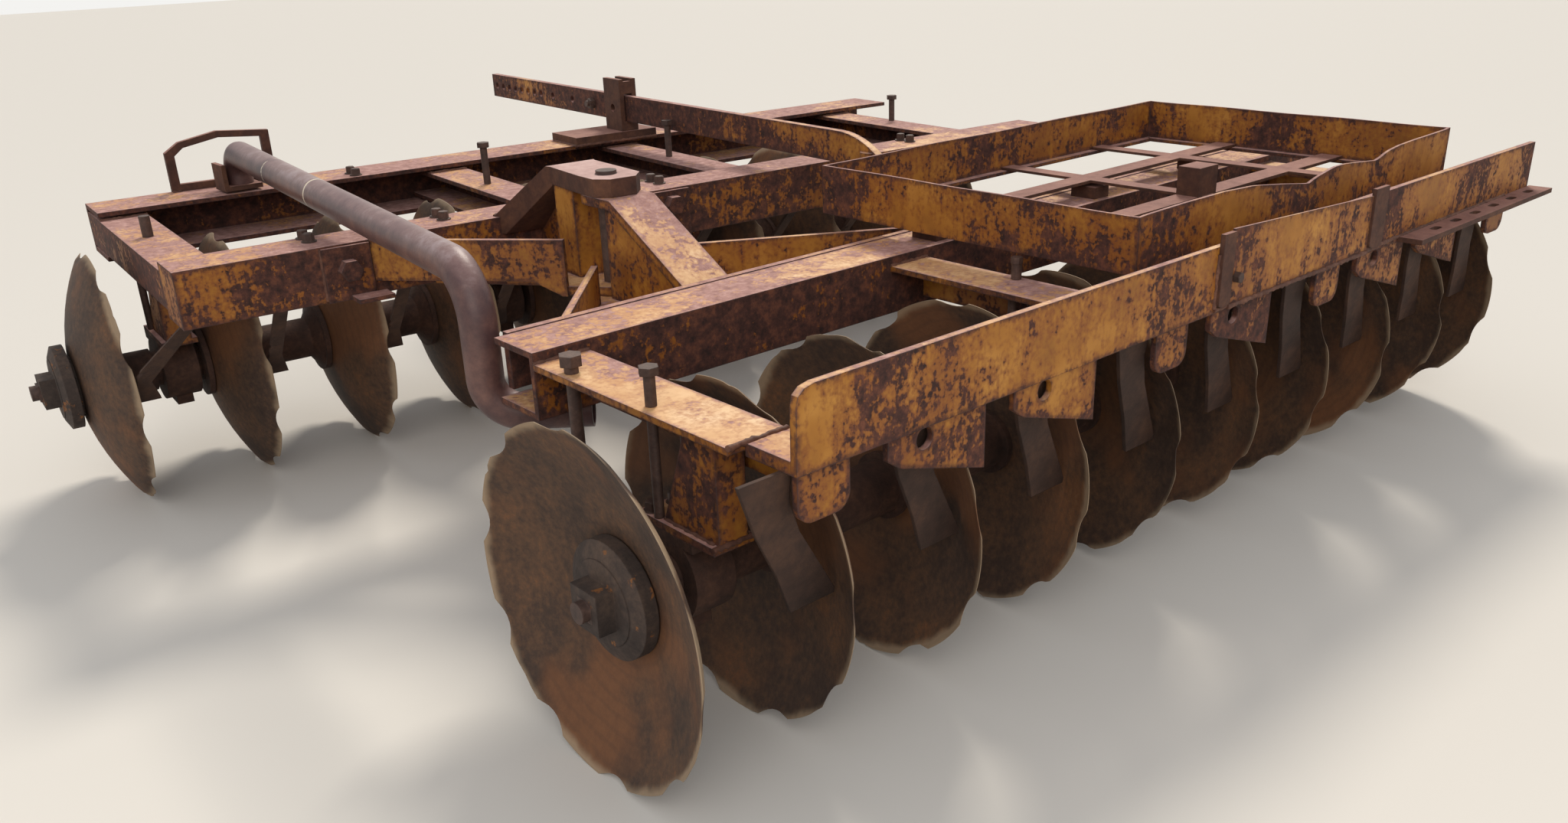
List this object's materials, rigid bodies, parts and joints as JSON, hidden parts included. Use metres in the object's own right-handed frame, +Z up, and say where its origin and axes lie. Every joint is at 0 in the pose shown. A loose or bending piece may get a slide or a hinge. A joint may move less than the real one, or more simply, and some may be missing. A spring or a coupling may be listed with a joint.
{
  "type": "disc harrow",
  "caption": "Trailed offset disc harrow: two gangs of dished scalloped blades under steel frames hinged on one kingpin, with a weight tray and an angle setting bar.",
  "frame": {"origin": "centre of the footprint, on the ground", "axes": "+X along the rear gang towards the weight tray's end, +Y the way the harrow is towed, +Z up"},
  "size_m": [3.3385, 3.3803, 0.872],
  "materials": {
    "worn_yellow": "worn yellow paint with brown rust",
    "rusty_steel": "rusted",
    "disc_steel": "rusted, edges lighter",
    "rusty_casting": "rusted",
    "bolt_steel": "dull, rusted",
    "pipe_rust": "purplish rust with a slight sheen"
  },
  "bodies": {
    "front_frame": {"front_rear_beam": "worn_yellow", "front_lead_beam": "worn_yellow", "front_cross_members": "worn_yellow", "front_standards": "worn_yellow", "front_bearings": "rusty_casting", "front_scrapers": "rusty_steel", "front_lug": "rusty_steel", "front_a_frame": "worn_yellow", "kingpin": "bolt_steel", "front_long_bolts": "bolt_steel", "bail": "rusty_steel", "guide_base": "rusty_steel", "guide_cheeks": "rusty_steel", "front_face_plates": "worn_yellow"},
    "front_gang": {"front_discs": "disc_steel", "front_spools": "rusty_casting", "front_axle": "bolt_steel", "front_end_nuts": "bolt_steel"},
    "angle_bar": {"angle_bar": "rusty_steel", "stop_bolt": "bolt_steel"},
    "rear_frame": {"rear_beam": "worn_yellow", "rear_face_plate": "worn_yellow", "rear_angle": "worn_yellow", "rear_cross_members": "worn_yellow", "rear_standards": "worn_yellow", "rear_bearings": "rusty_casting", "rear_tabs": "worn_yellow", "rear_brackets": "worn_yellow", "rear_scrapers": "rusty_steel", "rear_lug": "worn_yellow", "rear_a_frame": "worn_yellow", "bar_tongue": "rusty_steel", "tray_walls": "worn_yellow", "tray_floor": "rusty_steel", "tray_cleats": "rusty_steel", "tray_straps": "rusty_steel", "patch_panel": "worn_yellow", "slotted_flange": "worn_yellow", "rear_long_bolts": "bolt_steel", "pipe_brace": "pipe_rust", "pipe_shoe": "rusty_steel"},
    "rear_gang": {"rear_discs": "disc_steel", "rear_spools": "rusty_casting", "rear_axle": "bolt_steel", "rear_end_nuts": "bolt_steel"}
  },
  "joints": [
    {"name": "frame_swing", "type": "hinge", "parent": "front_frame", "child": "rear_frame", "pos_m": [-0.59, -0.448, 0.7], "axis": [0, 0, -1], "range_deg": [0, 6.8]},
    {"name": "front_gang_turn", "type": "hinge", "parent": "front_frame", "child": "front_gang", "pos_m": [-0.519, 0.46224, 0.317], "axis": [0.997, -0.0778, 0], "continuous": true},
    {"name": "angle_bar_slide", "type": "slide", "parent": "front_frame", "child": "angle_bar", "axis": [-0.0778, -0.997, 0], "range_m": [0, 0.0885]},
    {"name": "rear_gang_turn", "type": "hinge", "parent": "rear_frame", "child": "rear_gang", "pos_m": [-0.171, -1.311, 0.317], "axis": [1, 0, 0], "continuous": true}
  ],
  "couplings": [
    {"joint": "angle_bar_slide", "follows": "frame_swing", "m_per_rad": 0.7415}
  ]
}
